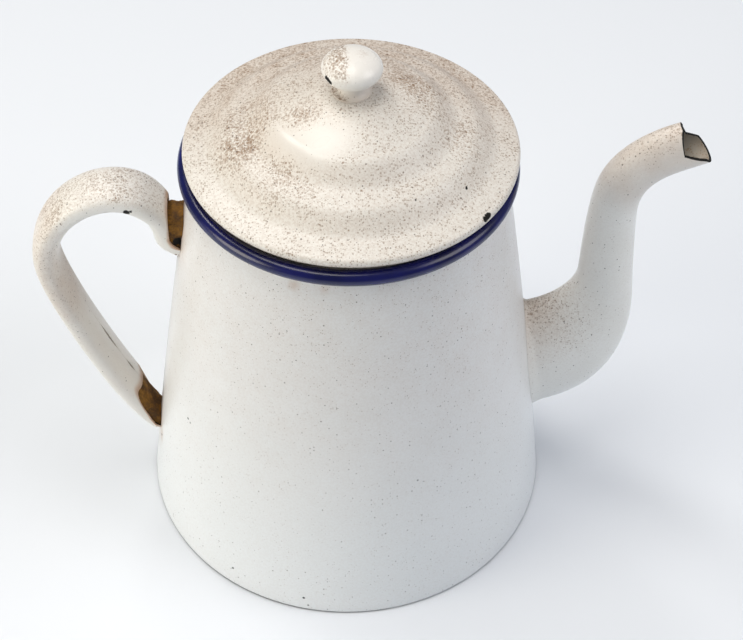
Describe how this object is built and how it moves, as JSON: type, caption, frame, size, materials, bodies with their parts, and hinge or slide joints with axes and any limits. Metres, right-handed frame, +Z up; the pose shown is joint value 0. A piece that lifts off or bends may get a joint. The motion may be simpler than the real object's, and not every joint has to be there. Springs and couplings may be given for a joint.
{
  "type": "enamelled coffee pot",
  "caption": "Tapered enamelled steel coffee pot with a swan-neck spout, a hollow loop handle, a rolled rim and a stepped lift-off lid with a round knob",
  "frame": {"origin": "centre of the foot, on the plane the pot stands on", "axes": "+Z up along the pot's axis, +X towards the spout, -X towards the handle, +Y to the left of the spout"},
  "size_m": [0.23, 0.1498, 0.1994],
  "materials": {
    "white_enamel": "glossy cream-white enamel on steel, with fine brown speckles",
    "blue_enamel": "glossy dark blue enamel on steel",
    "rusted_steel": "bare steel with brown rust"
  },
  "bodies": {
    "pot": {"body_wall": "white_enamel", "base_plate": "white_enamel", "rim_roll": "blue_enamel", "spout_left": "white_enamel", "spout_right": "white_enamel", "handle_shell": "white_enamel", "handle_upper_bracket": "rusted_steel", "handle_lower_bracket": "rusted_steel"},
    "lid": {"lid_dome": "white_enamel", "lid_collar": "white_enamel", "knob_top": "white_enamel", "knob_base": "white_enamel", "knob_rivet": "white_enamel"}
  },
  "joints": [
    {"name": "lid_lift", "type": "slide", "parent": "pot", "child": "lid", "axis": [0, 0, 1], "range_m": [0, 0.08]}
  ]
}
